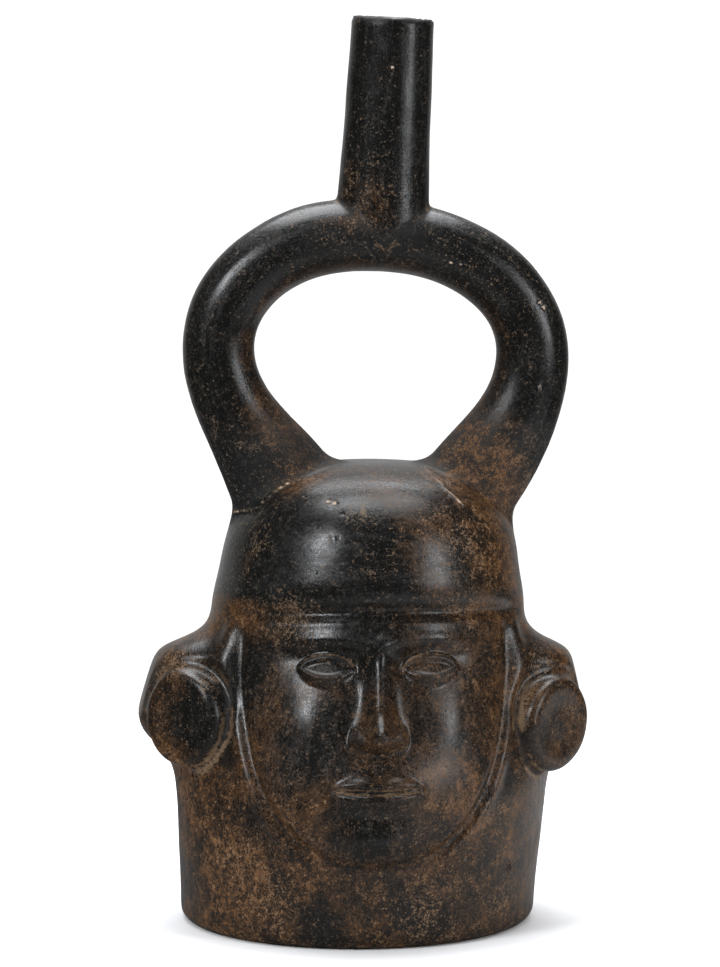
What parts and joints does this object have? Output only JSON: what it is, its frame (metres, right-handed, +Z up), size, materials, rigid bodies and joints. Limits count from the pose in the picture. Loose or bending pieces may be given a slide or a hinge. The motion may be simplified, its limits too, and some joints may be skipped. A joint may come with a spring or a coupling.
{
  "type": "stirrup spout vessel",
  "caption": "Burnished black clay stirrup spout vessel: a capped head with ear spools, a hollow arched stirrup on its cap and a tubular spout.",
  "frame": {"origin": "middle of the flat underside", "axes": "+Z up towards the spout, -Y the way the face looks, +X to the side that the pot leans to"},
  "size_m": [0.1388, 0.1274, 0.2799],
  "materials": {
    "black_clay": "burnished, with worn brown patches"
  },
  "bodies": {
    "root": {"vessel": "black_clay"}
  },
  "joints": []
}
